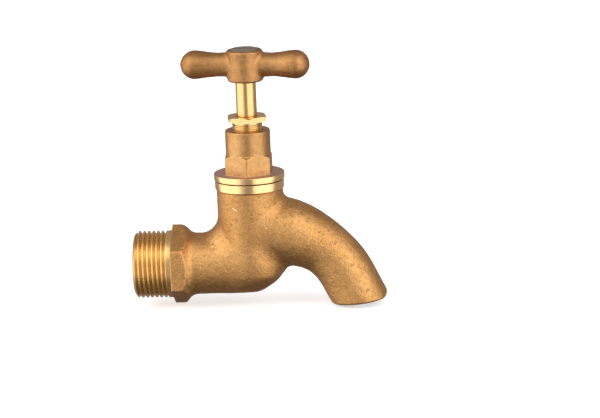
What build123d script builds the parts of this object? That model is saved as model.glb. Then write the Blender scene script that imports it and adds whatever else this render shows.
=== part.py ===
from build123d import *
import math
import os

# Brass bib tap with a 3/4 inch parallel pipe thread inlet, a screw-down
# headwork, a tee handle and a plain curved spout.
# Millimetres. Origin: centre of the hexagon's shoulder face on the inlet axis.
# +X runs along the inlet towards the spout, +Z runs up along the spindle.

# ---------------------------------------------------------------- inlet
thread_major_r = 26.441 / 2        # G 3/4 major radius
thread_minor_r = 24.117 / 2        # G 3/4 minor radius
thread_pitch = 1.814               # 14 threads per inch
thread_length = 15.0               # from the shoulder to the open end
thread_plain = 1.9                 # unthreaded ring beside the shoulder
first_crest_x = -12.95
inlet_bore_r = 8.5
hex_corner_r = 16.05               # across corners 32.1
hex_thickness = 5.2
hex_blend_end = 7.8                # where the hexagon's cone meets the barrel

# ---------------------------------------------------------------- body
barrel_r_inlet = 12.15
barrel_r_neck = 11.8
dome_back = 0.8                    # dome centre, short of the spindle axis
spindle_x = 31.1                   # spindle axis from the shoulder
neck_r = 13.0
collar_r = 13.5
collar_bottom_z = 29.9
collar_top_z = 33.5
wall = 2.7
chamber_r = 10.2                   # upper chamber, around the valve
chamber_floor_z = 3.8
seat_z = 4.5                       # valve seat lip
seat_orifice_r = 6.3
seat_lip_r = 7.9
neck_thread_major_r = 11.0
neck_thread_minor_r = 10.2
neck_thread_pitch = 1.5
thread_clearance = 0.1

# spout centre line and outside radius: (x from the spindle, z, radius)
spout_stations = [
    (4.5, 13.0, 12.6),
    (12.5, 12.3, 13.2),
    (18.6, 10.65, 12.5),
    (23.4, 8.65, 11.65),
    (28.4, 5.4, 10.95),
    (32.75, 1.2, 10.75),
    (36.2, -3.6, 10.8),
    (39.05, -9.2, 10.8),
    (41.7, -14.7, 10.8),
    (44.3, -19.8, 10.8),
]
spout_bore_tip_r = 8.0
outlet_x = 42.6                    # outlet centre, from the spindle
outlet_z = -15.3
outlet_tilt = 6.5                  # outlet plane, degrees from level
outlet_lip_x = 52.3                # where the outer lip is ground back
outlet_lip_z = -13.4
outlet_lip_slope = 28.0            # below level, degrees

# ---------------------------------------------------------------- headwork
gasket_t = 0.35
flange_r = 13.8
flange_top_z = 36.3
bonnet_af_bottom = 17.75
bonnet_af_top = 17.55
bonnet_hex_top_z = 43.7
bonnet_cyl_r = 8.8
bonnet_top_z = 53.3
bonnet_foot_z = 26.0
spindle_bore_r = 6.0
stem_hole_r = 4.1
stuffing_floor_z = 43.0
stuffing_r = 6.0
bore_top_z = 40.5

packing_ring_t = 1.6
gland_neck_r = 5.9
gland_hex_bottom_z = 56.8
gland_top_z = 58.8
gland_af = 14.4
gland_pitch = 1.0

# ---------------------------------------------------------------- spindle
stem_r = 4.0
stem_thread_r = 5.9
stem_thread_root_r = 5.0
stem_lead = 3.0                    # rise per turn
stem_turns = 2.25                  # shut to fully open
stem_thread_z0 = 27.5
stem_thread_z1 = 33.0
foot_r = 5.6
stem_square = 5.6
hub_bottom_z = 72.5
hub_top_z = 84.9

# ---------------------------------------------------------------- valve
washer_r = 8.6
washer_t = 4.0
seat_gap = 0.03
plate_t = 2.5
jumper_stem_r = 3.0

# ---------------------------------------------------------------- handle
hub_r = 7.05
arm_z = 78.95
arm_half = 25.4
handle_turn = -5.0                # the tee's angle to the inlet when shut
arm_waist_r = 4.65
arm_end_r = 5.6


def revolve_z(points, cx=0.0):
    """Closed (r, z) outline turned about a vertical axis at x = cx."""
    wire = Polyline(*[(r, 0, z) for r, z in points], close=True)
    solid = revolve(make_face(wire), axis=Axis.Z)
    return Pos(cx, 0, 0) * solid


def revolve_x(points, cz=0.0):
    """Closed (x, r) outline turned about a level axis at z = cz."""
    wire = Polyline(*[(x, 0, r) for x, r in points], close=True)
    solid = revolve(make_face(wire), axis=Axis.X)
    return Pos(0, 0, cz) * solid


def ring_points(r_root, r_crest, pitch, z0, z1, crest=0.22, root=0.22, phase=0.5):
    """Thread outline as rings: list of (r, z) from z0 to z1 along the flanks."""
    pts = [(r_root, z0)]
    flank = pitch * (1 - crest - root) / 2
    z = z0 + phase * pitch * root
    while z + pitch * crest + 2 * flank <= z1 + 1e-6:
        pts += [(r_root, z), (r_crest, z + flank),
                (r_crest, z + flank + pitch * crest), (r_root, z + 2 * flank + pitch * crest)]
        z += pitch
    pts.append((r_root, z1))
    clean = [pts[0]]
    for p in pts[1:]:
        if math.dist(p, clean[-1]) > 1e-4:
            clean.append(p)
    return clean


def cyl(r, z0, z1, cx=0.0):
    return Pos(cx, 0, z0) * Cylinder(r, z1 - z0, align=(Align.CENTER, Align.CENTER, Align.MIN))


def hex_prism(af0, af1, z0, z1, cx=0.0, turn=0.0):
    """Upright hexagon, a vertex towards -Y plus turn, af0 below and af1 on top."""
    low = Plane.XY.offset(z0) * Pos(cx, 0, 0) * Rot(0, 0, 90 + turn) * RegularPolygon(af0 / 2, 6, major_radius=False)
    top = Plane.XY.offset(z1) * Pos(cx, 0, 0) * Rot(0, 0, 90 + turn) * RegularPolygon(af1 / 2, 6, major_radius=False)
    return loft([low.faces()[0], top.faces()[0]], ruled=True)


def station_circle(x, z, r, dx, dz):
    """Circle square to the direction (dx, dz) in the body's middle plane."""
    plane = Plane(origin=(spindle_x + x, 0, z), x_dir=(0, 1, 0), z_dir=(dx, 0, dz))
    return plane * Circle(r)


def tangents(stations):
    out = []
    for i in range(len(stations)):
        a = stations[max(i - 1, 0)]
        b = stations[min(i + 1, len(stations) - 1)]
        out.append((b[0] - a[0], b[1] - a[1]))
    return out


# ================================================================ body
# threaded nipple, hexagon and barrel
nipple_pts = [(-thread_length, inlet_bore_r - 0.5), (-thread_length, thread_minor_r - 0.35)]
flank = thread_pitch * (1 - 0.2 - 0.16) / 2
x = first_crest_x - thread_pitch * 0.1 - flank
first_crest = None
while x + 2 * flank + thread_pitch * 0.2 < -thread_plain - 0.4:
    a, b = x + flank, x + flank + thread_pitch * 0.2
    if first_crest is None:
        first_crest = a
    last_crest = b
    nipple_pts += [(x, thread_minor_r), (a, thread_major_r), (b, thread_major_r),
                   (x + 2 * flank + thread_pitch * 0.2, thread_minor_r)]
    x += thread_pitch
nipple_pts += [(-thread_plain - 0.3, thread_minor_r), (-thread_plain + 0.3, thread_major_r),
               (0.5, thread_major_r), (0.5, inlet_bore_r - 0.5)]
nipple = revolve_x(nipple_pts)

hexagon = extrude(Plane.YZ * Rot(0, 0, 90) * RegularPolygon(hex_corner_r, 6), hex_blend_end)
hex_cone = revolve_x([(-1, 0), (0, 0), (0, hex_corner_r - 0.55), (0.5, hex_corner_r + 0.05),
                      (hex_thickness - 1.6, hex_corner_r + 0.05), (hex_thickness, hex_corner_r - 1.2),
                      (hex_blend_end - 1.2, barrel_r_inlet + 0.75), (hex_blend_end, barrel_r_inlet), (hex_blend_end, 0)])
hexagon = hexagon & hex_cone

# barrel with a domed end under the neck
with BuildSketch(Plane.XZ) as barrel_sk:
    with BuildLine():
        b1 = Polyline((0.2, 0), (0.2, barrel_r_inlet), (hex_blend_end, barrel_r_inlet), (spindle_x - dome_back, barrel_r_neck))
        b2 = CenterArc((spindle_x - dome_back, 0), barrel_r_neck, 90, -90)
        b3 = Line(b2 @ 1, (0.2, 0))
    make_face()
barrel = revolve(barrel_sk.sketch, axis=Axis.X)

# neck, drawn in at its foot so that it runs into the dome
with BuildSketch(Plane.XZ) as neck_sk:
    with BuildLine():
        n1 = Spline((8.2, -7.2), (11.2, -2.9), (12.5, 1.2), (neck_r, 6.5), tangents=[(0.75, 1), (0, 1)])
        n2 = Polyline(n1 @ 1, (neck_r, collar_bottom_z + 0.1), (0, collar_bottom_z + 0.1), (0, -7.2), (8.2, -7.2))
    make_face()
neck = Pos(spindle_x, 0, 0) * revolve(neck_sk.sketch, axis=Axis.Z)
collar = cyl(collar_r, collar_bottom_z, collar_top_z, spindle_x)

tans = tangents(spout_stations)
spout = loft([station_circle(s[0], s[1], s[2], t[0], t[1]).faces()[0] for s, t in zip(spout_stations, tans)])

outside = neck + barrel
outside = outside + spout
outside = outside + collar + hexagon + nipple

# oblique outlet face
cut_plane = Plane(origin=(spindle_x + outlet_x, 0, outlet_z),
                  z_dir=(math.sin(math.radians(outlet_tilt)), 0, -math.cos(math.radians(outlet_tilt))))
outlet_cutter = cut_plane * Box(80, 80, 30, align=(Align.CENTER, Align.CENTER, Align.MIN))
outside = outside - outlet_cutter
lip_plane = Plane(origin=(spindle_x + outlet_lip_x, 0, outlet_lip_z),
                  z_dir=(math.cos(math.radians(outlet_lip_slope)), 0, -math.sin(math.radians(outlet_lip_slope))))
outside = outside - lip_plane * Box(60, 60, 20, align=(Align.CENTER, Align.CENTER, Align.MIN))

# waterways
inlet_way = Pos(-thread_length - 1, 0, 0) * Rot(0, 90, 0) * Cylinder(
    inlet_bore_r, thread_length + 1 + 18.2, align=(Align.CENTER, Align.CENTER, Align.MIN))
low_sketch = Plane.YZ.offset(15.0) * Pos(0, -3.75) * Ellipse(7.0, 5.5)
lower_way = extrude(low_sketch, spindle_x + 8 - 15.0)
lower_limit = Pos(spindle_x, 0, 0) * Sphere(9.4) + Pos(spindle_x - 20, 0, 0) * Box(40, 40, 40)
lower_way = lower_way & lower_limit
orifice = cyl(seat_orifice_r, -4.0, seat_z + 1, spindle_x)
chamber = cyl(chamber_r, chamber_floor_z, collar_top_z - 9, spindle_x)
seat_lip = revolve_z([(seat_orifice_r, chamber_floor_z - 0.5), (seat_lip_r, chamber_floor_z - 0.5),
                      (seat_lip_r, seat_z - 0.35), (seat_lip_r - 0.35, seat_z),
                      (seat_orifice_r + 0.25, seat_z), (seat_orifice_r, seat_z - 0.25)], spindle_x)

bore_stations = [
    (2.0, 13.3, 9.2),
    (9.0, 13.1, 9.25),
    (15.0, 12.0, 9.2),
    (20.0, 10.0, 8.9),
    (25.0, 7.3, 8.4),
    (29.6, 3.9, 8.05),
]
# the last stretch is a true cylinder along the spout's end
tip_dir = (math.cos(math.radians(-62.5)), math.sin(math.radians(-62.5)))
tip_top = (33.9, -1.3)
bt = tangents(bore_stations + [(tip_top[0], tip_top[1], spout_bore_tip_r)])
bt[-1] = tip_dir
spout_way = loft([station_circle(s[0], s[1], s[2], t[0], t[1]).faces()[0]
                  for s, t in zip(bore_stations + [(tip_top[0], tip_top[1], spout_bore_tip_r)], bt)])
tip_plane = Plane(origin=(spindle_x + tip_top[0], 0, tip_top[1]), x_dir=(0, 1, 0), z_dir=(tip_dir[0], 0, tip_dir[1]))
tip_way = extrude(tip_plane * Circle(spout_bore_tip_r), 30)

body = outside - inlet_way - lower_way - orifice - chamber
body = body - spout_way - tip_way
body = body + seat_lip

# internal thread for the bonnet, as rings that clear the bonnet's own
nt = ring_points(neck_thread_minor_r, neck_thread_major_r, neck_thread_pitch, 25.2, 32.6)
neck_bore_pts = [(0, 24.4), (neck_thread_minor_r + thread_clearance, 24.4)]
neck_bore_pts += [(r + thread_clearance, z) for r, z in nt]
neck_bore_pts += [(neck_thread_major_r + thread_clearance + 0.1, 32.6), (neck_thread_major_r + thread_clearance + 0.1, collar_top_z + 1),
                  (0, collar_top_z + 1)]
body = body - revolve_z(neck_bore_pts, spindle_x)
body.label = "body"

# ================================================================ bonnet gasket
gasket = cyl(13.1, collar_top_z, collar_top_z + gasket_t, spindle_x) - cyl(11.3, collar_top_z - 1, collar_top_z + 2, spindle_x)

# ================================================================ bonnet
flange_z0 = collar_top_z + gasket_t
bonnet_outer = [(0, bonnet_foot_z), (neck_thread_minor_r - 0.6, bonnet_foot_z), (neck_thread_minor_r, bonnet_foot_z + 0.6)]
bonnet_outer += [(r, z) for r, z in nt if z > bonnet_foot_z + 0.7 and z < 32.5]
bonnet_outer += [(neck_thread_minor_r, 32.6), (neck_thread_minor_r, flange_z0), (flange_r, flange_z0),
                 (flange_r, flange_top_z - 0.15), (flange_r - 0.15, flange_top_z), (0, flange_top_z)]
bonnet = revolve_z(bonnet_outer, spindle_x)
hexpart = hex_prism(bonnet_af_bottom, bonnet_af_top, flange_top_z - 0.2, bonnet_hex_top_z + 1.0, spindle_x)
hex_trim = revolve_z([(0, flange_top_z - 1), (12, flange_top_z - 1), (12, bonnet_hex_top_z - 1.6),
                      (bonnet_cyl_r - 0.1, bonnet_hex_top_z + 0.15), (0, bonnet_hex_top_z + 0.15)], spindle_x)
hexpart = hexpart & hex_trim
barrel_part = revolve_z([(0, flange_top_z), (bonnet_cyl_r, flange_top_z), (bonnet_cyl_r, bonnet_top_z - 0.4),
                         (bonnet_cyl_r - 0.4, bonnet_top_z), (0, bonnet_top_z)], spindle_x)
upper_part = barrel_part - cyl(20, flange_top_z - 5, bonnet_hex_top_z - 0.4, spindle_x)
core = cyl(bonnet_cyl_r - 0.5, flange_top_z - 1, bonnet_hex_top_z + 1, spindle_x)
bonnet = bonnet + core + hexpart + upper_part
# bores: spindle thread, stem hole, stuffing box, gland thread
gt = ring_points(gland_neck_r - 0.55, gland_neck_r, gland_pitch, 49.9, 53.2)
bonnet_bore = [(0, bonnet_foot_z - 1), (spindle_bore_r + 0.5, bonnet_foot_z - 1), (spindle_bore_r + 0.5, bonnet_foot_z),
               (spindle_bore_r, bonnet_foot_z + 0.5), (spindle_bore_r, bore_top_z - 0.6), (spindle_bore_r - 0.8, bore_top_z), (stem_hole_r, bore_top_z),
               (stem_hole_r, stuffing_floor_z), (stuffing_r, stuffing_floor_z), (stuffing_r, bonnet_top_z - 0.4),
               (stuffing_r + 0.4, bonnet_top_z), (stuffing_r + 0.4, bonnet_top_z + 1), (0, bonnet_top_z + 1)]
bonnet = bonnet - revolve_z(bonnet_bore, spindle_x)

# ================================================================ stuffing box
z = stuffing_floor_z
packing_washer = cyl(5.9, z + 0.01, z + 1.0, spindle_x) - cyl(4.08, z - 1, z + 2, spindle_x)
z += 1.0
packing = []
for i in range(3):
    ring = cyl(5.95, z + 0.02, z + packing_ring_t - 0.01, spindle_x) - cyl(4.03, z - 1, z + 3, spindle_x)
    ring = chamfer(ring.edges().filter_by(GeomType.CIRCLE), 0.25)
    packing.append(ring)
    z += packing_ring_t
gland_ring = cyl(5.9, z + 0.01, z + 1.0, spindle_x) - cyl(4.08, z - 1, z + 2, spindle_x)
z += 1.0
gland_foot_z = z + 0.02
gland_pts = [(0, gland_foot_z), (gland_neck_r - 0.6, gland_foot_z), (gland_neck_r - 0.3, gland_foot_z + 0.3)]
zz = gland_foot_z + 0.5
while zz + 0.7 < gland_hex_bottom_z - 0.9:
    gland_pts += [(gland_neck_r - 0.35, zz), (gland_neck_r, zz + 0.25), (gland_neck_r, zz + 0.42), (gland_neck_r - 0.35, zz + 0.67)]
    zz += 0.8
gland_pts += [(gland_neck_r - 0.35, gland_hex_bottom_z - 0.8), (gland_neck_r - 0.35, gland_hex_bottom_z + 0.5), (0, gland_hex_bottom_z + 0.5)]
gland_nut = revolve_z(gland_pts, spindle_x)
ghex = hex_prism(gland_af, gland_af, gland_hex_bottom_z, gland_top_z, spindle_x, turn=11.0)
gac = gland_af / math.sqrt(3)
ghex = ghex & revolve_z([(0, gland_hex_bottom_z - 1), (gac - 0.7, gland_hex_bottom_z - 0.001), (gac + 0.1, gland_hex_bottom_z + 0.45),
                         (gac + 0.1, gland_top_z - 0.45), (gac - 0.7, gland_top_z + 0.001), (0, gland_top_z + 1)], spindle_x)
gland_nut = gland_nut + ghex
gland_nut = gland_nut - cyl(4.1, gland_foot_z - 1, gland_top_z + 1, spindle_x)
gland_nut = gland_nut - revolve_z([(0, gland_top_z - 0.9), (4.1, gland_top_z - 0.9), (4.7, gland_top_z - 0.3), (4.7, gland_top_z + 1), (0, gland_top_z + 1)], spindle_x)

# ================================================================ valve
washer_z = seat_z + seat_gap
plate_z = washer_z + washer_t
foot_z = plate_z + plate_t
tap_washer = cyl(washer_r, washer_z, plate_z - 0.01, spindle_x) - cyl(2.15, washer_z - 1, plate_z + 1, spindle_x)
tap_washer = chamfer(tap_washer.edges().filter_by(GeomType.CIRCLE).sort_by(lambda e: e.radius)[-2:], 0.4)
jumper = revolve_z([(0, washer_z - 4.2), (1.6, washer_z - 4.2), (2.0, washer_z - 3.8), (2.0, plate_z), (washer_r + 0.2, plate_z),
                    (washer_r + 0.2, plate_z + 1.6), (washer_r - 1.0, foot_z - 0.02), (jumper_stem_r, foot_z - 0.02),
                    (jumper_stem_r, foot_z + 5.2), (2.2, foot_z + 5.6), (2.2, foot_z + 8.0), (jumper_stem_r, foot_z + 8.4),
                    (jumper_stem_r, foot_z + 10.6), (2.6, foot_z + 11.0), (0, foot_z + 11.0)], spindle_x)
washer_plate = cyl(4.6, washer_z - 0.82, washer_z - 0.02, spindle_x) - cyl(2.1, washer_z - 3, washer_z + 1, spindle_x)
washer_nut = hex_prism(7.0, 7.0, washer_z - 3.2, washer_z - 0.84, spindle_x) & revolve_z(
    [(0, washer_z - 4), (3.4, washer_z - 3.201), (4.2, washer_z - 2.8), (4.2, washer_z), (0, washer_z)], spindle_x)
washer_nut = washer_nut - cyl(2.05, washer_z - 4, washer_z + 1, spindle_x)

# ================================================================ spindle
sp = [(0, foot_z), (foot_r - 0.4, foot_z), (foot_r, foot_z + 0.4), (foot_r, stem_thread_z0 - 1.6), (stem_thread_root_r, stem_thread_z0 - 1.0)]
pitch = stem_lead / 2
zz = stem_thread_z0
while zz + 1.3 < stem_thread_z1:
    sp += [(stem_thread_root_r, zz), (stem_thread_r, zz + 0.35), (stem_thread_r, zz + 0.85), (stem_thread_root_r, zz + 1.2)]
    zz += pitch
sp += [(stem_thread_root_r, stem_thread_z1), (stem_r, stem_thread_z1 + 0.4), (stem_r, hub_bottom_z), (0, hub_bottom_z)]
spindle = revolve_z(sp, spindle_x)
spindle = spindle + Pos(spindle_x, 0, hub_bottom_z - 0.5) * Rot(0, 0, handle_turn) * Box(stem_square, stem_square, 7.6, align=(Align.CENTER, Align.CENTER, Align.MIN))
spindle = spindle - cyl(jumper_stem_r + 0.08, foot_z - 1, foot_z + 11.6, spindle_x)
spindle = spindle - cyl(2.0, hub_bottom_z - 5, hub_bottom_z + 20, spindle_x)
pin_z = foot_z + 6.8
pin_y = 2.2 + 0.08 + 0.8
pin_hole = Pos(spindle_x, pin_y, pin_z) * Rot(0, 90, 0) * Cylinder(0.8, 20)
spindle = spindle - pin_hole
pin_half = math.sqrt(foot_r ** 2 - (pin_y + 0.8) ** 2) - 0.1
jumper_pin = Pos(spindle_x, pin_y, pin_z) * Rot(0, 90, 0) * Cylinder(0.79, 2 * pin_half)

# ================================================================ handle
hub = revolve_z([(0, hub_bottom_z), (hub_r - 0.9, hub_bottom_z), (hub_r - 0.26, hub_bottom_z + 0.26), (hub_r, hub_bottom_z + 0.9),
                 (hub_r, hub_top_z - 0.9), (hub_r - 0.26, hub_top_z - 0.26), (hub_r - 0.9, hub_top_z), (0, hub_top_z)], spindle_x)
with BuildSketch(Plane.XZ) as arm_sk:
    with BuildLine():
        top = Spline((0, arm_waist_r + 1.2), (7.6, arm_waist_r + 0.5), (10.7, arm_waist_r), (15.4, 5.12), (arm_half - arm_end_r, arm_end_r),
                     tangents=[(1, 0), (1, 0)])
        tip = CenterArc((arm_half - arm_end_r, 0), arm_end_r, 90, -90)
        base = Line(tip @ 1, (0, 0))
        left = Line(base @ 1, top @ 0)
    make_face()
arm = revolve(arm_sk.sketch, axis=Axis.X)
arms = Pos(spindle_x, 0, arm_z) * Rot(0, 0, handle_turn) * (arm + Rot(0, 0, 180) * arm)
handle = hub + arms
handle = handle - Pos(spindle_x, 0, hub_bottom_z - 1) * Rot(0, 0, handle_turn) * Box(stem_square + 0.06, stem_square + 0.06, 8.5, align=(Align.CENTER, Align.CENTER, Align.MIN))
handle = handle - cyl(2.15, hub_bottom_z, hub_top_z + 2, spindle_x)
handle = handle - cyl(5.75, hub_top_z - 1.9, hub_top_z + 2, spindle_x)

screw_bottom = hub_top_z - 1.88
handle_screw = revolve_z([(0, hub_bottom_z - 4.5), (1.5, hub_bottom_z - 4.5), (1.95, hub_bottom_z - 4.05), (1.95, screw_bottom), (5.6, screw_bottom),
                          (5.6, hub_top_z + 0.05), (5.1, hub_top_z + 0.35), (0, hub_top_z + 0.55)], spindle_x)
handle_screw = handle_screw - Pos(spindle_x, 0, hub_top_z - 0.75) * Rot(0, 0, handle_turn) * Box(20, 1.5, 3, align=(Align.CENTER, Align.CENTER, Align.MIN))

print("thread crests from", round(first_crest, 3), "to", round(last_crest, 3), "radius", thread_major_r)
parts = {
    "body": body,
    "bonnet": bonnet,
    "bonnet_gasket": gasket,
    "gland_nut": gland_nut,
    "gland_ring": gland_ring,
    "packing_ring_upper": packing[2],
    "packing_ring_middle": packing[1],
    "packing_ring_lower": packing[0],
    "packing_washer": packing_washer,
    "spindle": spindle,
    "jumper": jumper,
    "jumper_pin": jumper_pin,
    "tap_washer": tap_washer,
    "washer_plate": washer_plate,
    "washer_nut": washer_nut,
    "tee_handle": handle,
    "handle_screw": handle_screw,
}

os.makedirs("parts", exist_ok=True)
for name, solid in parts.items():
    solids = solid.solids()
    shape = solids[0] if len(solids) == 1 else Compound(children=list(solids))
    shape.label = name
    export_step(shape, "parts/" + name + ".step")
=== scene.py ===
import math
import bpy
import bmesh
import numpy as np
from mathutils import Vector, Matrix


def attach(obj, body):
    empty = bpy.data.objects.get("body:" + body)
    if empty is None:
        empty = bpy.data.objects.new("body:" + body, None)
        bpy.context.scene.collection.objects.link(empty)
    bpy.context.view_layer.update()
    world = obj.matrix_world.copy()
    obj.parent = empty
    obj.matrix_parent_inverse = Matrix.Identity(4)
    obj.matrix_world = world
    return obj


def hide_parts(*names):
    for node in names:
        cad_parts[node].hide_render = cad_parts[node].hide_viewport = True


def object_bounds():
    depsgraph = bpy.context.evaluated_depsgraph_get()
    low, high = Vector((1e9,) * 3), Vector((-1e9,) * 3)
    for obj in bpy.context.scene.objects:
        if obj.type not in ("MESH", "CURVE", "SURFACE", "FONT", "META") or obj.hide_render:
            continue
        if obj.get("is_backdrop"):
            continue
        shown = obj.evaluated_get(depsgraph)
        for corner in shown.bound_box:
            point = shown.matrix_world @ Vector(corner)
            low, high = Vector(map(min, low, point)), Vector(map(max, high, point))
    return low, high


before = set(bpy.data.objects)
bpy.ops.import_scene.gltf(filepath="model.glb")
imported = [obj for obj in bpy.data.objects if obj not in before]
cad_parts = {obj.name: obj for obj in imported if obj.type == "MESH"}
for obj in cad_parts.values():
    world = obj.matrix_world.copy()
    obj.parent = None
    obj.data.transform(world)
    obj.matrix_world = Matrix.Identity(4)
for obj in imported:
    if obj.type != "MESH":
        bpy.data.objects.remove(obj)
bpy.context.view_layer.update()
MM = 0.001

# ------------------------------------------------------------------ sizes, mm
SX = 31.1                    # spindle axis
T_MAJ, T_MIN, PITCH = 13.2205, 12.0585, 1.814
T_LEN = 15.0
HEX_R, HEX_T, HEX_END = 16.05, 5.2, 7.8
NECK_R, COLLAR_R, COLLAR_Z0, COLLAR_Z1 = 13.0, 13.5, 29.9, 33.5
FLANGE_R, FLANGE_Z0, FLANGE_Z1 = 13.8, 33.85, 36.3
HUB_R, HUB_Z0, HUB_Z1, ARM_Z = 7.05, 72.5, 84.9, 78.95
ARM_HALF, ARM_END_R, ARM_WAIST_R = 25.4, 5.6, 4.65
HANDLE_TURN = -5.0


# ================================================================== noise
class Noise:
    """Repeatable value noise on a random lattice."""

    def __init__(self, seed, n=64):
        self.n = n
        self.t = np.random.RandomState(seed).rand(n, n, n).astype(np.float32) * 2 - 1

    def __call__(self, p, scale):
        q = np.asarray(p, np.float32) / scale + 1000.3
        i = np.floor(q).astype(np.int64)
        f = (q - i).astype(np.float32)
        f = f * f * (3 - 2 * f)
        n = self.n
        x0, y0, z0 = i[:, 0] % n, i[:, 1] % n, i[:, 2] % n
        x1, y1, z1 = (x0 + 1) % n, (y0 + 1) % n, (z0 + 1) % n
        t = self.t
        fx, fy, fz = f[:, 0], f[:, 1], f[:, 2]
        a = t[x0, y0, z0] * (1 - fx) + t[x1, y0, z0] * fx
        b = t[x0, y1, z0] * (1 - fx) + t[x1, y1, z0] * fx
        c = t[x0, y0, z1] * (1 - fx) + t[x1, y0, z1] * fx
        d = t[x0, y1, z1] * (1 - fx) + t[x1, y1, z1] * fx
        e = a * (1 - fy) + b * fy
        g = c * (1 - fy) + d * fy
        return e * (1 - fz) + g * fz


# ================================================================== distance fields
def u_round(a, b, r):
    """Union with a fillet of about radius r."""
    h = np.hypot(np.maximum(r - a, 0), np.maximum(r - b, 0))
    return np.maximum(r, np.minimum(a, b)) - h


def i_round(a, b, r):
    """Intersection with its edge rounded to r."""
    h = np.hypot(np.maximum(r + a, 0), np.maximum(r + b, 0))
    return np.minimum(-r, np.maximum(a, b)) + h


def cyl_z(x, y, z, cx, r, z0, z1, rnd=0.0):
    d = np.hypot(x - cx, y) - r
    h = np.maximum(z0 - z, z - z1)
    if rnd:
        return i_round(d, h, rnd)
    return np.maximum(d, h)


def hex_d(u, v, apothem, turn):
    """Distance to a hexagon in the u, v plane, its corners at 0, 60 ... degrees plus turn."""
    d = None
    for k in range(3):
        a = math.radians(30 + 60 * k + turn)
        e = np.abs(u * math.cos(a) + v * math.sin(a)) - apothem
        d = e if d is None else i_round(d, e, 0.35)
    return d


def tube(x, y, z, pts):
    """Round tube through (x, z, r) points in the middle plane; distance to the nearest, radius run along."""
    best = None
    for (ax, az, ar), (bx, bz, br) in zip(pts[:-1], pts[1:]):
        dx, dz = bx - ax, bz - az
        t = np.clip(((x - ax) * dx + (z - az) * dz) / (dx * dx + dz * dz), 0, 1)
        d = np.sqrt((x - ax - t * dx) ** 2 + y * y + (z - az - t * dz) ** 2) - (ar + t * (br - ar))
        best = d if best is None else np.minimum(best, d)
    return best


def smooth_path(pts, n):
    """Catmull-Rom points through the stations."""
    p = np.array(pts, float)
    p = np.vstack([2 * p[0] - p[1], p, 2 * p[-1] - p[-2]])
    out = []
    for i in range(1, len(p) - 2):
        for t in np.linspace(0, 1, n, endpoint=False):
            a, b, c, d = p[i - 1], p[i], p[i + 1], p[i + 2]
            out.append(0.5 * (2 * b + (c - a) * t + (2 * a - 5 * b + 4 * c - d) * t * t + (3 * b - a - 3 * c + d) * t ** 3))
    out.append(p[-2])
    return [tuple(q) for q in out]


def surface_net(fun, lo, hi, h):
    """Closed mesh of fun(x, y, z) = 0 inside the box, as (vertices mm, quads)."""
    lo = np.array(lo, float)
    n = np.ceil((np.array(hi) - lo) / h).astype(int) + 1
    ax = [(lo[i] + h * np.arange(n[i])).astype(np.float32) for i in range(3)]
    F = np.broadcast_to(fun(ax[0][:, None, None], ax[1][None, :, None], ax[2][None, None, :]), tuple(n)).astype(np.float32)
    F = np.where(np.abs(F) < 1e-6, np.float32(1e-6), F)
    S = F < 0
    cnt = np.zeros(tuple(n - 1), np.int8)
    for a in (0, 1):
        for b in (0, 1):
            for c in (0, 1):
                cnt += S[a:n[0] - 1 + a, b:n[1] - 1 + b, c:n[2] - 1 + c]
    act = np.argwhere((cnt > 0) & (cnt < 8))
    idx = -np.ones(tuple(n - 1), np.int64)
    idx[act[:, 0], act[:, 1], act[:, 2]] = np.arange(len(act))
    corners = [(a, b, c) for a in (0, 1) for b in (0, 1) for c in (0, 1)]
    val = {k: F[act[:, 0] + k[0], act[:, 1] + k[1], act[:, 2] + k[2]] for k in corners}
    acc = np.zeros((len(act), 3))
    num = np.zeros(len(act))
    for k in corners:
        for axis in range(3):
            if k[axis] == 1:
                continue
            m = list(k)
            m[axis] = 1
            f0, f1 = val[k], val[tuple(m)]
            cross = (f0 < 0) != (f1 < 0)
            t = np.where(cross, f0 / np.where(cross, f0 - f1, 1), 0)
            p = np.zeros((len(act), 3))
            for i in range(3):
                p[:, i] = k[i]
            p[:, axis] = t
            acc += p * cross[:, None]
            num += cross
    V = lo + (act + acc / num[:, None]) * h
    quads = []
    for axis in range(3):
        b, c = (axis + 1) % 3, (axis + 2) % 3
        sl0 = [slice(1, n[i] - 1) for i in range(3)]
        sl1 = [slice(1, n[i] - 1) for i in range(3)]
        sl0[axis] = slice(0, n[axis] - 1)
        sl1[axis] = slice(1, n[axis])
        A, B = S[tuple(sl0)], S[tuple(sl1)]
        off = np.array([1, 1, 1])
        off[axis] = 0
        for flip, where in ((False, A & ~B), (True, ~A & B)):
            e = np.argwhere(where) + off
            if not len(e):
                continue
            q = []
            for db, dc in ((-1, -1), (0, -1), (0, 0), (-1, 0)):
                w = e.copy()
                w[:, b] += db
                w[:, c] += dc
                q.append(idx[w[:, 0], w[:, 1], w[:, 2]])
            q = np.stack(q, 1)
            quads.append(q[:, ::-1] if flip else q)
    return V, np.vstack(quads)


def relax(V, Q, times, keep=0.5):
    """A little smoothing that keeps the size: forward and back steps."""
    n = len(V)
    a = np.concatenate([Q[:, 0], Q[:, 1], Q[:, 2], Q[:, 3]])
    b = np.concatenate([Q[:, 1], Q[:, 2], Q[:, 3], Q[:, 0]])
    deg = np.bincount(a, minlength=n) + np.bincount(b, minlength=n)
    for _ in range(times):
        for lam in (keep, -keep * 1.04):
            s = np.zeros_like(V)
            for i in range(3):
                s[:, i] = np.bincount(a, V[b, i], n) + np.bincount(b, V[a, i], n)
            V = V + lam * (s / deg[:, None] - V)
    return V


def gradient(fun, P, e=0.05):
    g = np.zeros_like(P)
    for i in range(3):
        a, b = P.copy(), P.copy()
        a[:, i] += e
        b[:, i] -= e
        g[:, i] = fun(a[:, 0], a[:, 1], a[:, 2]) - fun(b[:, 0], b[:, 1], b[:, 2])
    return g / np.maximum(np.linalg.norm(g, axis=1, keepdims=True), 1e-9)


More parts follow.
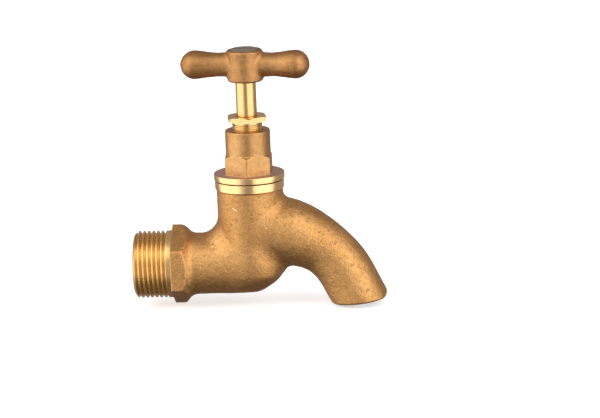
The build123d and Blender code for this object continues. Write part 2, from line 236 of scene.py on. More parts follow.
# ================================================================== meshes
def make_object(name, V, faces, material, smooth=True):
    me = bpy.data.meshes.new(name)
    me.from_pydata((np.asarray(V) * MM).tolist(), [], [list(map(int, f)) for f in faces])
    me.update()
    me.materials.append(material)
    if smooth:
        me.polygons.foreach_set("use_smooth", [True] * len(me.polygons))
    ob = bpy.data.objects.new(name, me)
    bpy.context.scene.collection.objects.link(ob)
    return ob


def round_profile(pts, seg=4):
    """(r, z, fillet) corners of a closed outline to points, each corner rounded by its fillet."""
    out = []
    n = len(pts)
    for i in range(n):
        p0, p1, p2 = np.array(pts[i - 1][:2]), np.array(pts[i][:2]), np.array(pts[(i + 1) % n][:2])
        f = pts[i][2] if len(pts[i]) > 2 else 0
        a, b = p0 - p1, p2 - p1
        la, lb = np.linalg.norm(a), np.linalg.norm(b)
        if f <= 0 or la < 1e-6 or lb < 1e-6:
            out.append(tuple(p1))
            continue
        a, b = a / la, b / lb
        ang = math.acos(max(-1, min(1, float(a @ b))))
        t = min(f / math.tan(ang / 2), la * 0.49, lb * 0.49)
        r = t * math.tan(ang / 2)
        c = p1 + (a + b) / np.linalg.norm(a + b) * (r / math.sin(ang / 2))
        s, e = p1 + a * t, p1 + b * t
        a0, a1 = math.atan2(*(s - c)[::-1]), math.atan2(*(e - c)[::-1])
        d = (a1 - a0 + math.pi) % (2 * math.pi) - math.pi
        for k in range(seg + 1):
            w = a0 + d * k / seg
            out.append((c[0] + r * math.cos(w), c[1] + r * math.sin(w)))
    return out


def lathe(name, pts, material, n=160, axis="z", centre=0.0):
    """Ring-shaped solid from a closed (r, z) outline, none of it on the axis; or a bar if the first and last r are 0."""
    pts = [p for p in pts]
    V, F = [], []
    bar = pts[0][0] < 1e-6 and pts[-1][0] < 1e-6
    rows = pts[1:-1] if bar else pts
    ang = np.arange(n) * 2 * math.pi / n
    for r, z in rows:
        for a in ang:
            V.append((r * math.cos(a), r * math.sin(a), z))
    m = len(rows)
    for i in range(m if not bar else m - 1):
        j = (i + 1) % m
        for k in range(n):
            l = (k + 1) % n
            F.append((i * n + k, i * n + l, j * n + l, j * n + k))
    if bar:
        c0, c1 = len(V), len(V) + 1
        V += [(0, 0, pts[0][1]), (0, 0, pts[-1][1])]
        for k in range(n):
            l = (k + 1) % n
            F.append((c0, l, k))
            F.append((c1, (m - 1) * n + k, (m - 1) * n + l))
    V = np.array(V)
    if axis == "x":
        V = V[:, [2, 0, 1]]
    else:
        V[:, 0] += centre
    ob = make_object(name, V, F, material)
    fix_normals(ob)
    sharpen(ob)
    return ob


def fix_normals(ob):
    bm = bmesh.new()
    bm.from_mesh(ob.data)
    bmesh.ops.recalc_face_normals(bm, faces=bm.faces)
    bm.to_mesh(ob.data)
    bm.free()


def sharpen(ob, angle=32):
    """Edges sharper than the angle shade sharp."""
    bm = bmesh.new()
    bm.from_mesh(ob.data)
    lim = math.radians(angle)
    for e in bm.edges:
        if len(e.link_faces) == 2 and e.calc_face_angle(0) > lim:
            e.smooth = False
        else:
            e.smooth = True
    for f in bm.faces:
        f.smooth = True
    bm.to_mesh(ob.data)
    bm.free()


def boolean(a, b, op):
    """a = a op b, b is used up; each keeps its own material."""
    m = a.modifiers.new("b", "BOOLEAN")
    m.object = b
    m.operation = op
    m.solver = "MANIFOLD"
    m.material_mode = "TRANSFER"
    bpy.context.view_layer.update()
    dg = bpy.context.evaluated_depsgraph_get()
    me = bpy.data.meshes.new_from_object(a.evaluated_get(dg))
    if len(me.polygons) == 0:
        raise RuntimeError("boolean gave nothing: " + a.name + " " + b.name)
    a.modifiers.clear()
    a.data = me
    bpy.data.objects.remove(b)
    return a


# ================================================================== materials
def mat_new(name):
    m = bpy.data.materials.new(name)
    m.use_nodes = True
    nt = m.node_tree
    nt.nodes.clear()
    out = nt.nodes.new("ShaderNodeOutputMaterial")
    b = nt.nodes.new("ShaderNodeBsdfPrincipled")
    nt.links.new(b.outputs[0], out.inputs[0])
    return m, nt, b


def nd(nt, kind, **kw):
    n = nt.nodes.new(kind)
    for k, v in kw.items():
        if k in n.inputs:
            n.inputs[k].default_value = v
        else:
            setattr(n, k, v)
    return n


def coords(nt, scale=(1, 1, 1)):
    """Position in the part's own frame, in millimetres, so that wear stays on the piece as it moves."""
    tc = nt.nodes.new("ShaderNodeTexCoord")
    mp = nt.nodes.new("ShaderNodeMapping")
    mp.inputs["Scale"].default_value = tuple(1000 * s for s in scale)
    nt.links.new(tc.outputs["Object"], mp.inputs["Vector"])
    return mp.outputs[0]


def noise(nt, vec, scale, detail=4, rough=0.55, distort=0.0):
    n = nt.nodes.new("ShaderNodeTexNoise")
    n.inputs["Scale"].default_value = scale
    n.inputs["Detail"].default_value = detail
    n.inputs["Roughness"].default_value = rough
    n.inputs["Distortion"].default_value = distort
    nt.links.new(vec, n.inputs["Vector"])
    return n.outputs["Fac"]


def ramp(nt, fac, stops):
    r = nt.nodes.new("ShaderNodeValToRGB")
    el = r.color_ramp.elements
    while len(el) > len(stops):
        el.remove(el[-1])
    while len(el) < len(stops):
        el.new(0.5)
    for e, (p, c) in zip(el, stops):
        e.position = p
        e.color = (c, c, c, 1) if isinstance(c, (int, float)) else (*c, 1)
    nt.links.new(fac, r.inputs[0])
    return r.outputs[0]


def math_n(nt, op, a, b=None, c=None):
    m = nt.nodes.new("ShaderNodeMath")
    m.operation = op
    for i, v in enumerate((a, b, c)):
        if v is None:
            continue
        if isinstance(v, (int, float)):
            m.inputs[i].default_value = v
        else:
            nt.links.new(v, m.inputs[i])
    return m.outputs[0]


def mix_c(nt, fac, a, b, mode="MIX"):
    m = nt.nodes.new("ShaderNodeMix")
    m.data_type = "RGBA"
    m.blend_type = mode
    for v, i in ((fac, 0), (a, 6), (b, 7)):
        if isinstance(v, (int, float)):
            m.inputs[i].default_value = v
        elif isinstance(v, tuple):
            m.inputs[i].default_value = (*v, 1)
        else:
            nt.links.new(v, m.inputs[i])
    return m.outputs[2]


def bump(nt, height, distance, strength=1.0, normal=None):
    b = nt.nodes.new("ShaderNodeBump")
    b.inputs["Strength"].default_value = strength
    b.inputs["Distance"].default_value = distance
    nt.links.new(height, b.inputs["Height"])
    if normal is not None:
        nt.links.new(normal, b.inputs["Normal"])
    return b.outputs[0]


def cast_brass(name, light, dark, rough=(0.34, 0.50), grain=1.0, pits=1.0, painted_glint_share=0.34):
    """Shot-blasted sand-cast brass: fine peened grain, darker hollows with painted shade in the dips of the fine
    grain, and small bright specks that are painted glints.
    """
    m, nt, b = mat_new(name)
    v = coords(nt)
    broad = noise(nt, v, 0.09, 3, 0.5)
    mid = noise(nt, v, 0.55, 4, 0.6)
    fine = noise(nt, v, 2.2, 5, 0.62)
    vor = nt.nodes.new("ShaderNodeTexVoronoi")
    vor.inputs["Scale"].default_value = 1.25
    nt.links.new(v, vor.inputs["Vector"])
    cells = vor.outputs["Distance"]
    pit = ramp(nt, noise(nt, v, 0.8, 2, 0.5, 0.6), [(0.62, 0.0), (0.74, 1.0)])
    c = mix_c(nt, ramp(nt, broad, [(0.32, 0.0), (0.68, 1.0)]), dark, light)
    c = mix_c(nt, math_n(nt, "MULTIPLY", ramp(nt, mid, [(0.35, 1.0), (0.6, 0.0)]), 0.30), c, tuple(x * 0.55 for x in dark))
    # painted shade: where the fine grain dips (low 'fine', which is also the bump height) the colour is darkened
    c = mix_c(nt, math_n(nt, "MULTIPLY", ramp(nt, fine, [(0.38, 1.0), (0.54, 0.0)]), 0.30), c, tuple(x * 0.45 for x in dark))
    # painted glints: small bright specks mixed into the colour stand in for the sparkle of the grain
    painted_glint = ramp(nt, noise(nt, v, 1.9, 2, 0.5), [(0.62, 0.0), (0.69, 1.0)])
    c = mix_c(nt, math_n(nt, "MULTIPLY", painted_glint, painted_glint_share), c, (0.94, 0.68, 0.36))
    c = mix_c(nt, math_n(nt, "MULTIPLY", pit, 0.35 * pits), c, tuple(x * 0.4 for x in dark))
    nt.links.new(c, b.inputs["Base Color"])
    b.inputs["Metallic"].default_value = 1.0
    r = nt.nodes.new("ShaderNodeMapRange")
    r.inputs["To Min"].default_value = rough[0]
    r.inputs["To Max"].default_value = rough[1]
    nt.links.new(fine, r.inputs["Value"])
    nt.links.new(r.outputs[0], b.inputs["Roughness"])
    h = math_n(nt, "ADD", math_n(nt, "MULTIPLY", fine, 0.62), math_n(nt, "MULTIPLY", mid, 0.42))
    h = math_n(nt, "ADD", h, math_n(nt, "MULTIPLY", cells, 0.30))
    h = math_n(nt, "SUBTRACT", h, math_n(nt, "MULTIPLY", pit, 0.7 * pits))
    nt.links.new(bump(nt, h, 0.00021 * grain, 1.0), b.inputs["Normal"])
    return m


def turned_brass(name, base, axis="z", rough=0.2, lines=1.0, tarnish=0.15):
    """Bright turned brass, with fine tool rings across the given axis."""
    m, nt, b = mat_new(name)
    tiny = 0.02
    sc = {"z": (tiny, tiny, 1), "x": (1, tiny, tiny)}[axis]
    rings = noise(nt, coords(nt, sc), 3.0, 3, 0.7)
    coarse = noise(nt, coords(nt, sc), 1.6, 2, 0.5)
    v = coords(nt)
    stain = ramp(nt, noise(nt, v, 0.35, 4, 0.6), [(0.42, 0.0), (0.75, 1.0)])
    speck = noise(nt, v, 2.6, 3, 0.6)
    c = mix_c(nt, math_n(nt, "MULTIPLY", stain, tarnish), base, (0.62, 0.34, 0.12))
    c = mix_c(nt, math_n(nt, "MULTIPLY", rings, 0.22), c, tuple(x * 0.72 for x in base))
    nt.links.new(c, b.inputs["Base Color"])
    b.inputs["Metallic"].default_value = 1.0
    r = math_n(nt, "ADD", math_n(nt, "MULTIPLY", rings, 0.12), math_n(nt, "MULTIPLY", stain, 0.10))
    nt.links.new(math_n(nt, "ADD", r, rough), b.inputs["Roughness"])
    h = math_n(nt, "ADD", math_n(nt, "MULTIPLY", rings, 0.6), math_n(nt, "MULTIPLY", coarse, 0.6))
    h = math_n(nt, "ADD", h, math_n(nt, "MULTIPLY", speck, 0.15))
    nt.links.new(bump(nt, h, 0.000006 * lines, 1.0), b.inputs["Normal"])
    return m


def plain_soft(name, base, rough, metallic=0.0, scale=1.2, depth=0.00008):
    m, nt, b = mat_new(name)
    v = coords(nt)
    n = noise(nt, v, scale, 4, 0.6)
    c = mix_c(nt, ramp(nt, n, [(0.3, 0.0), (0.7, 1.0)]), tuple(x * 0.7 for x in base), base)
    nt.links.new(c, b.inputs["Base Color"])
    b.inputs["Metallic"].default_value = metallic
    nt.links.new(math_n(nt, "ADD", math_n(nt, "MULTIPLY", n, 0.2), rough - 0.1), b.inputs["Roughness"])
    nt.links.new(bump(nt, n, depth), b.inputs["Normal"])
    return m


CAST_L, CAST_D = (0.70, 0.386, 0.138), (0.57, 0.297, 0.100)
M_CAST = cast_brass("cast_brass_body", CAST_L, CAST_D)


def scratch(m, ax, az, bx, bz, half, colour):
    """A thin bare mark on the near side, from (ax, az) to (bx, bz) in millimetres."""
    nt = m.node_tree
    b = next(n for n in nt.nodes if n.type == "BSDF_PRINCIPLED")
    sep = nt.nodes.new("ShaderNodeSeparateXYZ")
    nt.links.new(coords(nt), sep.inputs[0])
    x, y, z = sep.outputs[0], sep.outputs[1], sep.outputs[2]
    lx, lz = bx - ax, bz - az
    L = math.hypot(lx, lz)
    u = math_n(nt, "ADD", math_n(nt, "MULTIPLY", math_n(nt, "SUBTRACT", x, ax), lx / L), math_n(nt, "MULTIPLY", math_n(nt, "SUBTRACT", z, az), lz / L))
    w = math_n(nt, "SUBTRACT", math_n(nt, "MULTIPLY", math_n(nt, "SUBTRACT", x, ax), lz / L), math_n(nt, "MULTIPLY", math_n(nt, "SUBTRACT", z, az), lx / L))
    inside = math_n(nt, "MULTIPLY", math_n(nt, "GREATER_THAN", u, 0.0), math_n(nt, "LESS_THAN", u, L))
    inside = math_n(nt, "MULTIPLY", inside, math_n(nt, "LESS_THAN", math_n(nt, "ABSOLUTE", w), half))
    inside = math_n(nt, "MULTIPLY", inside, math_n(nt, "LESS_THAN", y, 0.0))
    old = b.inputs["Base Color"].links[0].from_socket
    nt.links.new(mix_c(nt, math_n(nt, "MULTIPLY", inside, 0.5), old, colour), b.inputs["Base Color"])


scratch(M_CAST, 25.1, 24.6, 26.9, 23.3, 0.2, (1.0, 0.86, 0.62))
M_BONNET = cast_brass("cast_brass_bonnet", (0.66, 0.375, 0.148), (0.55, 0.298, 0.11), (0.34, 0.48), 0.55, 0.4, 0.10)
M_HANDLE = cast_brass("cast_brass_handle", (0.58, 0.310, 0.118), (0.45, 0.230, 0.083), (0.38, 0.54), 0.65, 0.6, 0.08)
M_TURN_Z = turned_brass("turned_brass_upright", (0.90, 0.645, 0.30), "z", 0.14)
M_TURN_X = turned_brass("turned_brass_level", (0.90, 0.61, 0.25), "x", 0.17, 0.35, 0.2)


def thread_brass():
    m = turned_brass("turned_brass_thread", (0.95, 0.66, 0.28), "x", 0.18, 0.2, 0.2)
    nt = m.node_tree
    b = next(n for n in nt.nodes if n.type == "BSDF_PRINCIPLED")
    sep = nt.nodes.new("ShaderNodeSeparateXYZ")
    nt.links.new(coords(nt), sep.inputs[0])
    y, z = sep.outputs[1], sep.outputs[2]
    r = math_n(nt, "SQRT", math_n(nt, "ADD", math_n(nt, "MULTIPLY", y, y), math_n(nt, "MULTIPLY", z, z)))
    k = nt.nodes.new("ShaderNodeMapRange")
    k.interpolation_type = "SMOOTHSTEP"
    k.inputs["From Min"].default_value = 12.15
    k.inputs["From Max"].default_value = 12.95
    nt.links.new(r, k.inputs["Value"])
    old = b.inputs["Base Color"].links[0].from_socket
    wear = noise(nt, coords(nt), 0.5, 3, 0.6)
    f = math_n(nt, "MULTIPLY", math_n(nt, "SUBTRACT", 1.0, k.outputs[0]), math_n(nt, "ADD", 0.08, math_n(nt, "MULTIPLY", wear, 0.5)))
    nt.links.new(mix_c(nt, f, old, (0.48, 0.22, 0.06)), b.inputs["Base Color"])
    return m


M_THREAD = thread_brass()
M_GLAND = turned_brass("turned_brass_gland", (0.80, 0.56, 0.245), "z", 0.19, 1.5, 0.3)
M_SCREW = turned_brass("plated_screw_head", (0.46, 0.39, 0.30), "z", 0.30, 1.0, 0.25)
M_DULL = turned_brass("dull_brass_face", (0.60, 0.38, 0.27), "z", 0.36, 0.8, 0.3)
M_SPINDLE = turned_brass("turned_brass_spindle", (0.80, 0.55, 0.235), "z", 0.16)
M_FIBRE = plain_soft("red_fibre", (0.045, 0.02, 0.012), 0.8)
M_RUBBER = plain_soft("black_rubber", (0.02, 0.02, 0.02), 0.6)
M_PACK = plain_soft("braided_packing", (0.62, 0.60, 0.54), 0.8, 0.0, 2.5, 0.0002)

# ================================================================== body casting
SPOUT = [(SX + x, z, r) for x, z, r in [
    (4.5, 13.8, 12.2), (12.5, 13.0, 12.8), (18.6, 10.85, 12.4), (23.4, 8.65, 11.6), (28.4, 5.4, 10.9),
    (32.75, 1.2, 10.72), (36.2, -3.6, 10.75), (39.05, -9.2, 10.75), (41.7, -14.7, 10.75), (44.3, -19.8, 10.75), (46.5, -24.1, 10.75)]]
SPOUT_PATH = smooth_path(SPOUT, 3)
BORE_PATH = smooth_path([(SX + x, z, r) for x, z, r in [
    (2.0, 13.3, 9.2), (9.0, 13.1, 9.25), (15.0, 12.0, 9.2), (20.0, 10.0, 8.9), (25.0, 7.3, 8.4), (29.6, 3.9, 8.05),
    (33.9, -1.3, 8.0), (38.9, -10.9, 8.0), (47.0, -26.46, 8.0)]], 3)
OUT_X, OUT_Z, OUT_TILT = SX + 42.6, -15.2, math.radians(6.5)


def body_outer(x, y, z):
    rr = np.hypot(y, z)
    rad = 12.15 + (11.8 - 12.15) * np.clip((x - HEX_END) / (SX - HEX_END), 0, 1)
    xe = SX - 0.8
    barrel = np.where(x > xe, np.sqrt((x - xe) ** 2 + rr ** 2) - 11.8, rr - rad)
    barrel = np.maximum(barrel, 0.3 - x)
    q = np.hypot(x - SX, y)
    taper = NECK_R - 1.9 * np.clip((6.5 - z) / 12.0, 0, 1) ** 2
    neck = i_round(q - taper, -6.0 - z, 3.0)
    spout = tube(x, y, z, SPOUT_PATH)
    # fillets fade out where the surfaces run into each other at the sides
    side = np.clip(1 - (y / 12.3) ** 2, 0, 1)
    t = np.clip((SX + 8 - x) / 16.0, 0, 1)
    d = u_round(barrel, neck, 2.6 + 4.8 * side * (0.2 + 0.8 * t * t * (3 - 2 * t)))
    t = np.clip((9.0 - z) / 14.0, 0, 1)
    t = t * t * (3 - 2 * t)
    side4 = np.clip(1 - (y / 12.3) ** 4, 0, 1)
    d = u_round(d, spout, 2.0 + side * (0.7 + 3.0 * t) + 9.0 * t * side4 * (1 - side4))
    # hexagon, its corner up, with a turned cone towards the barrel
    hx = hex_d(z, y, HEX_R * math.cos(math.pi / 6) - 0.1, 0.0)
    cone = (rr - (HEX_R - 1.0) + (x - (HEX_T - 0.2)) * 1.15) / math.hypot(1, 1.15)
    front = (rr - (HEX_R + 0.35) + (0.6 - x) * 0.9) / math.hypot(1, 0.9)
    hx = i_round(hx, i_round(np.maximum(-x, x - HEX_END - 1.0), cone, 0.5), 0.35)
    hx = i_round(hx, front, 0.2)
    d = u_round(d, hx, 1.3)
    plane = (x - OUT_X) * math.sin(OUT_TILT) - (z - OUT_Z) * math.cos(OUT_TILT)
    lip = (x - SX - 52.35) * math.cos(math.radians(28)) - (z + 13.3) * math.sin(math.radians(28))
    return i_round(i_round(d, lip, 1.4), plane, 0.9)


def body_inner(x, y, z):
    rr = np.hypot(y, z)
    q = np.hypot(x - SX, y)
    inlet = np.maximum(rr - 8.5, x - 18.2)
    low = (np.sqrt((y / 7.0) ** 2 + ((z + 3.75) / 5.5) ** 2) - 1) * 5.5
    low = np.maximum(low, np.maximum(15.0 - x, np.where(x > SX, np.sqrt((x - SX) ** 2 + rr ** 2) - 9.3, -9.0)))
    orifice = np.maximum(q - 6.3, np.maximum(-4.0 - z, z - 6.0))
    chamber = np.maximum(q - 10.2, np.maximum(3.9 - z, z - 25.5))
    top = np.maximum(q - 11.1, 24.4 - z)
    way = tube(x, y, z, BORE_PATH)
    way = np.maximum(way, -(z - 3.85) * np.where(x < SX + 12, 1, 0) - 50.0 * np.where(x < SX + 12, 0, 1))
    d = np.minimum(inlet, low)
    d = np.minimum(d, orifice)
    d = np.minimum(d, chamber)
    d = np.minimum(d, top)
    return u_round(d, way, 0.8)


def body_field(x, y, z):
    d = i_round(body_outer(x, y, z), -body_inner(x, y, z), 0.3)
    return np.maximum(d, z - 30.18)


H_BODY = 0.36
V, Q = surface_net(body_field, (-0.9, -16.9, -18.8), (85.6, 16.9, 31.6), H_BODY)
V = relax(V, Q, 2)
G = gradient(body_outer, V)
outer_side = np.abs(body_outer(V[:, 0], V[:, 1], V[:, 2])) < 0.6
N1, N2, N3 = Noise(11), Noise(23), Noise(37)
wave = 0.10 * N1(V, 8.0) + 0.028 * N2(V, 2.6) + 0.026 * N3(V, 1.15)
# faint parting line of the mould along the middle plane, ground back
seam = 0.05 * np.exp(-(V[:, 1] / 0.5) ** 2) * np.clip(0.5 + N2(V * np.array([1, 0, 1]), 5.0), 0, 1)
near_face = np.clip(V[:, 0] / 1.2, 0, 1) * np.clip((30.2 - V[:, 2]) / 1.5, 0, 1)
calm = 0.35 + 0.65 * np.clip((V[:, 0] - 8.0) / 2.0, 0, 1)
V = V + G * ((wave * calm + seam) * outer_side * near_face)[:, None]
body = make_object("cast_body", V, Q, M_CAST)

collar = lathe("collar", round_profile([(11.15, 29.9, 0), (13.1, 29.9, 0), (COLLAR_R, COLLAR_Z0 + 0.45, 0.2), (COLLAR_R, COLLAR_Z1, 0.28), (11.15, COLLAR_Z1, 0.15)], 3),
               M_TURN_Z, 200, "z", SX)
boolean(body, collar, "UNION")


# inlet thread: a true right-hand helix on the G 3/4 profile, run out into a plain ring
def thread_mesh():
    n_t = 240
    dx = 0.07
    xs = np.arange(-T_LEN, 0.6 + 1e-6, dx)
    th = np.arange(n_t) * 2 * math.pi / n_t
    X, T = np.meshgrid(xs, th, indexing="ij")
    # crest position at angle T measured from +Z towards +Y, seen from the inlet end
    ph = ((X - THREAD_PHASE) / PITCH + T / (2 * math.pi)) % 1.0
    tri = np.abs(ph - 0.5) * 2
    depth = T_MAJ - T_MIN
    t = np.clip((tri - 0.08) / 0.84, 0, 1)
    prof = T_MIN + depth * (0.3 * t + 0.7 * (0.5 - 0.5 * np.cos(math.pi * t)))
    prof = np.minimum(prof, T_MAJ - 0.03)
    # lead chamfer
    lead = T_MIN - 0.25 + (X + T_LEN) * 1.25
    # run-out: the groove dies into the plain ring over half a turn
    run = np.clip((X + 2.3) / 0.7, 0, 1)
    prof = prof + (T_MAJ - prof) * run
    R = np.minimum(prof, lead)
    V, F = [], []
    m = len(xs)
    outer = np.stack([X, R * np.sin(T), R * np.cos(T)], -1).reshape(-1, 3)
    rin = 8.46
    ri = np.full(m, rin)
    ri[0] = rin + 0.6
    ri[xs < -T_LEN + 0.6] = rin + np.clip(0.6 - (xs[xs < -T_LEN + 0.6] + T_LEN), 0, 1)
    inner = np.stack([X, ri[:, None] * np.sin(T), ri[:, None] * np.cos(T)], -1).reshape(-1, 3)
    V = np.vstack([outer, inner])
    o = m * n_t
    idx = np.arange(m * n_t).reshape(m, n_t)
    nx = np.roll(idx, -1, axis=1)
    F = [np.stack([idx[:-1], idx[1:], nx[1:], nx[:-1]], -1).reshape(-1, 4),
         np.stack([idx[:-1] + o, nx[:-1] + o, nx[1:] + o, idx[1:] + o], -1).reshape(-1, 4),
         np.stack([idx[0], nx[0], nx[0] + o, idx[0] + o], -1).reshape(-1, 4),
         np.stack([idx[-1], idx[-1] + o, nx[-1] + o, nx[-1]], -1).reshape(-1, 4)]
    ob = make_object("inlet_thread", V, np.vstack(F), M_THREAD)
    fix_normals(ob)
    sharpen(ob, 50)
    return ob


THREAD_PHASE = -13.1
boolean(body, thread_mesh(), "UNION")
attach(body, "tap_body")
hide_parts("body")


# ================================================================== bonnet
def bonnet_field(x, y, z):
    u, w = x - SX, y
    q = np.hypot(u, w)
    ap = (17.75 + (17.55 - 17.75) * np.clip((z - 36) / 8, 0, 1)) / 2
    hx = hex_d(w, u, ap, 0.0)
    cone = (q - 8.85 + (z - 43.85) * 1.16) / math.hypot(1, 1.16)
    hx = i_round(hx, np.maximum(cone, 35.0 - z), 0.18)
    rod = i_round(q - 8.8, np.maximum(35.0 - z, z - 53.3), 0.45)
    d = u_round(hx, rod, 0.12)
    bore = q - 6.0
    d = i_round(d, -np.maximum(bore, 43.0 - z), 0.3)
    return np.maximum(d, 35.0 - z)


H_SMALL = 0.2
V, Q = surface_net(bonnet_field, (SX - 11.2, -11.2, 34.4), (SX + 11.2, 11.2, 54.0), H_SMALL)
V = relax(V, Q, 1)
Gb = gradient(bonnet_field, V)
V = V + Gb * (0.035 * N1(V, 3.0) + 0.016 * N2(V, 1.2))[:, None] * np.clip((V[:, 2] - 36.6) / 0.6, 0, 1)[:, None]
bonnet = make_object("bonnet_casting", V, Q, M_BONNET)
prof = [(4.1, 26.0, 0.1), (10.2, 26.0, 0.4)]
z = 26.9
while z + 1.5 < 32.3:
    prof += [(10.2, z), (10.9, z + 0.5), (10.9, z + 0.8), (10.2, z + 1.3)]
    z += 1.5
prof += [(10.2, 32.6), (10.2, FLANGE_Z0, 0), (FLANGE_R, FLANGE_Z0, 0.28), (FLANGE_R, FLANGE_Z1, 0.22), (4.1, FLANGE_Z1, 0)]
fl = lathe("flange", round_profile(prof, 3), M_TURN_Z, 200, "z", SX)
fl.data.materials.append(M_DULL)
for p in fl.data.polygons:
    c = p.center
    if p.normal.z > 0.8 and c.z > (FLANGE_Z1 - 0.4) * MM:
        p.material_index = 1
boolean(bonnet, fl, "UNION")
through = lathe("bore", [(0, 43.6), (4.1, 43.6), (4.1, 24.0), (0, 24.0)], M_TURN_Z, 96, "z", SX)
boolean(bonnet, through, "DIFFERENCE")
lower = lathe("bore2", [(0, 40.5), (5.2, 40.5), (6.0, 39.9), (6.0, 24.0), (0, 24.0)], M_TURN_Z, 96, "z", SX)
boolean(bonnet, lower, "DIFFERENCE")
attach(bonnet, "tap_body")
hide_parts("bonnet")


# ================================================================== handle
def handle_field(x, y, z):
    a = math.radians(HANDLE_TURN)
    u = (x - SX) * math.cos(a) + y * math.sin(a)
    w = -(x - SX) * math.sin(a) + y * math.cos(a)
    t = z - ARM_Z
    au = np.abs(u)
    # arm radius along its length
    k = np.array([0, 5, 8.0, 10.7, 13.0, 15.4, 17.6, 19.8, 30])
    rv = np.array([5.0, 4.95, 4.75, 4.65, 4.82, 5.12, 5.43, 5.6, 5.6])
    rad = np.interp(au, k, rv)
    xe = ARM_HALF - ARM_END_R
    s = np.hypot(w, t)
    arm = np.where(au > xe, np.sqrt((au - xe) ** 2 + s ** 2) - ARM_END_R, s - rad)
    q = np.hypot(u, w)
    hub = i_round(q - HUB_R, np.maximum(HUB_Z0 - z, z - HUB_Z1), 1.0)
    d = u_round(arm, hub, 0.9)
    d = i_round(d, -np.maximum(q - 5.75, HUB_Z1 - 1.9 - z), 0.25)
    d = np.maximum(d, -(q - 4.05 + 0 * z))
    return d


H_HANDLE = 0.25
V, Q = surface_net(handle_field, (SX - 26.4, -8.4, 71.8), (SX + 26.4, 8.4, 85.7), H_HANDLE)
V = relax(V, Q, 2)
Gh = gradient(handle_field, V)
V = V + Gh * (0.10 * N1(V, 5.0) + 0.04 * N2(V, 2.0) + 0.018 * N3(V, 0.9))[:, None]
handle = make_object("tee_handle_casting", V, Q, M_HANDLE)
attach(handle, "spindle_and_handle")
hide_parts("tee_handle")

# ================================================================== carried-over nodes
mats = {
    "bonnet_gasket": M_FIBRE, "gland_nut": M_GLAND, "gland_ring": M_TURN_Z, "packing_washer": M_TURN_Z,
    "packing_ring_upper": M_PACK, "packing_ring_middle": M_PACK, "packing_ring_lower": M_PACK,
    "spindle": M_SPINDLE, "jumper": M_TURN_Z, "jumper_pin": M_TURN_X, "tap_washer": M_RUBBER,
    "washer_plate": M_TURN_Z, "washer_nut": M_TURN_Z, "handle_screw": M_SCREW,
}
for name, m in mats.items():
    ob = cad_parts[name]
    if not ob.material_slots:
        ob.data.materials.append(m)
    for s in ob.material_slots:
        s.link = "OBJECT"
        s.material = m

# ================================================================== floor and light
lo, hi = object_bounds()
floor_z = lo.z - 0.0008
me = bpy.data.meshes.new("floor")
S = 14.0
me.from_pydata([(-S, -S, floor_z), (S, -S, floor_z), (S, S, floor_z), (-S, S, floor_z)], [], [(0, 1, 2, 3)])
floor = bpy.data.objects.new("floor", me)
bpy.context.scene.collection.objects.link(floor)
floor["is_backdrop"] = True
fm = bpy.data.materials.new("pale_floor")
fm.use_nodes = True
nt = fm.node_tree
nt.nodes.clear()
out = nt.nodes.new("ShaderNodeOutputMaterial")
dif = nd(nt, "ShaderNodeBsdfDiffuse", Color=(0.80, 0.80, 0.80, 1))
em = nd(nt, "ShaderNodeEmission", Color=(1, 1, 1, 1), Strength=0.60)
dark = nd(nt, "ShaderNodeBsdfTransparent", Color=(1, 1, 1, 1))
add = nt.nodes.new("ShaderNodeAddShader")
nt.links.new(dif.outputs[0], add.inputs[0])
nt.links.new(em.outputs[0], add.inputs[1])
lp = nt.nodes.new("ShaderNodeLightPath")
mx = nt.nodes.new("ShaderNodeMixShader")
nt.links.new(lp.outputs["Is Camera Ray"], mx.inputs[0])
nt.links.new(dark.outputs[0], mx.inputs[1])
nt.links.new(add.outputs[0], mx.inputs[2])
nt.links.new(mx.outputs[0], out.inputs[0])
me.materials.append(fm)

CAM_AZ, CAM_EL, CAM_ROLL = 5.67, 12.353, 2.308
world = bpy.data.worlds.new("studio")
bpy.context.scene.world = world
world.use_nodes = True
nt = world.node_tree
nt.nodes.clear()
wout = nt.nodes.new("ShaderNodeOutputWorld")
bg = nt.nodes.new("ShaderNodeBackground")
nt.links.new(bg.outputs[0], wout.inputs[0])
tc = nt.nodes.new("ShaderNodeTexCoord")
sep = nt.nodes.new("ShaderNodeSeparateXYZ")
nt.links.new(tc.outputs["Generated"], sep.inputs[0])
dxn, dyn, dzn = sep.outputs[0], sep.outputs[1], sep.outputs[2]
neg_y = math_n(nt, "MULTIPLY", dyn, -1.0)
az = math_n(nt, "MULTIPLY", math_n(nt, "ARCTAN2", dxn, neg_y), 180 / math.pi)
az = math_n(nt, "SUBTRACT", az, CAM_AZ)
el = math_n(nt, "MULTIPLY", math_n(nt, "ARCSINE", dzn), 180 / math.pi)


def window(v, a, b, soft, soft2=None):
    """1 between a and b degrees, falling off over soft degrees at a and soft2 at b."""
    up = nt.nodes.new("ShaderNodeMapRange")
    up.interpolation_type = "SMOOTHSTEP"
    up.inputs["From Min"].default_value = a - soft
    up.inputs["From Max"].default_value = a + soft
    nt.links.new(v, up.inputs["Value"])
    s2 = soft if soft2 is None else soft2
    dn = nt.nodes.new("ShaderNodeMapRange")
    dn.interpolation_type = "SMOOTHSTEP"
    dn.inputs["From Min"].default_value = b - s2
    dn.inputs["From Max"].default_value = b + s2
    dn.inputs["To Min"].default_value = 1
    dn.inputs["To Max"].default_value = 0
    nt.links.new(v, dn.inputs["Value"])
    return math_n(nt, "MULTIPLY", up.outputs[0], dn.outputs[0])


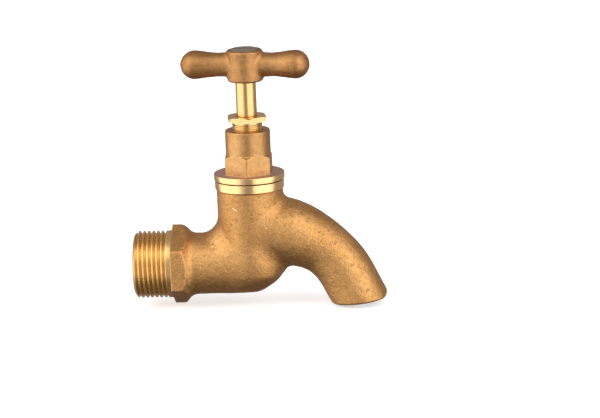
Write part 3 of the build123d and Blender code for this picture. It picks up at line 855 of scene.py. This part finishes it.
high = window(el, -36, 56, 18, 20)
left = math_n(nt, "MULTIPLY", window(az, -116, -30, 10, 20), high)
right = math_n(nt, "MULTIPLY", window(az, 13, 84, 7, 10), high)
front = math_n(nt, "MULTIPLY", window(az, -80, 80, 20), window(el, 34, 72, 16, 14))
low = window(el, -34, 300, 14)
s = math_n(nt, "ADD", math_n(nt, "MULTIPLY", left, 1.36), math_n(nt, "MULTIPLY", right, 1.36))
s = math_n(nt, "ADD", s, math_n(nt, "MULTIPLY", front, 0.68))
fill = math_n(nt, "ADD", math_n(nt, "MULTIPLY", low, 0.21), 0.15)
s = mix_c(nt, 1.0, s, mix_c(nt, 1.0, fill, (1.03, 0.91, 0.93), "MULTIPLY"), "ADD")
lpw = nt.nodes.new("ShaderNodeLightPath")
cam_s = mix_c(nt, lpw.outputs["Is Camera Ray"], s, (0.98, 0.98, 0.98))
nt.links.new(cam_s, bg.inputs[0])
bg.inputs[1].default_value = 1.0


def area(name, az_deg, el_deg, dist, w, h, power, colour=(1, 1, 1)):
    a, e = math.radians(az_deg + CAM_AZ), math.radians(el_deg)
    d = Vector((math.sin(a) * math.cos(e), -math.cos(a) * math.cos(e), math.sin(e)))
    L = bpy.data.lights.new(name, "AREA")
    L.shape = "RECTANGLE"
    L.size, L.size_y = w, h
    L.energy = power
    L.color = colour
    o = bpy.data.objects.new(name, L)
    o.location = Vector((SX * MM, 0, 0.033)) + d * dist
    o.rotation_mode = "QUATERNION"
    o.rotation_quaternion = (-d).to_track_quat("-Z", "Y")
    bpy.context.scene.collection.objects.link(o)
    return o


area("key_left", -48, 34, 0.9, 0.35, 0.5, 0.7, (1.0, 0.97, 0.92))
area("key_right", 44, 26, 0.9, 0.3, 0.5, 0.6, (1.0, 0.97, 0.92))

# ================================================================== camera
cam = bpy.data.cameras.new("camera")
co = bpy.data.objects.new("camera", cam)
bpy.context.scene.collection.objects.link(co)
a, e, r = (math.radians(t) for t in (CAM_AZ, CAM_EL, CAM_ROLL))
back = Vector((math.sin(a) * math.cos(e), -math.cos(a) * math.cos(e), math.sin(e)))
R = Vector((math.cos(a), math.sin(a), 0))
U = Vector((-math.sin(a) * math.sin(e), math.cos(a) * math.sin(e), math.cos(e)))
cr = R * math.cos(r) - U * math.sin(r)
cu = R * math.sin(r) + U * math.cos(r)
target = Vector((31.4, 0, 32.0)) * MM
DIST, F_PX, PX, PY = 1.422, 2.562, 250.3, 182.614
M = Matrix((cr, cu, back)).transposed().to_4x4()
M.translation = target + back * DIST
co.matrix_world = M
cam.sensor_width = 36.0
cam.lens = F_PX * DIST * 1000 / 600 * 36.0
cam.shift_x = (300 - PX) / 600
cam.shift_y = -(209 - PY) / 600
cam.clip_start, cam.clip_end = 0.05, 60
bpy.context.scene.camera = co
bpy.context.scene.view_settings.view_transform = "Standard"
bpy.context.scene.view_settings.look = "None"

lo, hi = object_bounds()
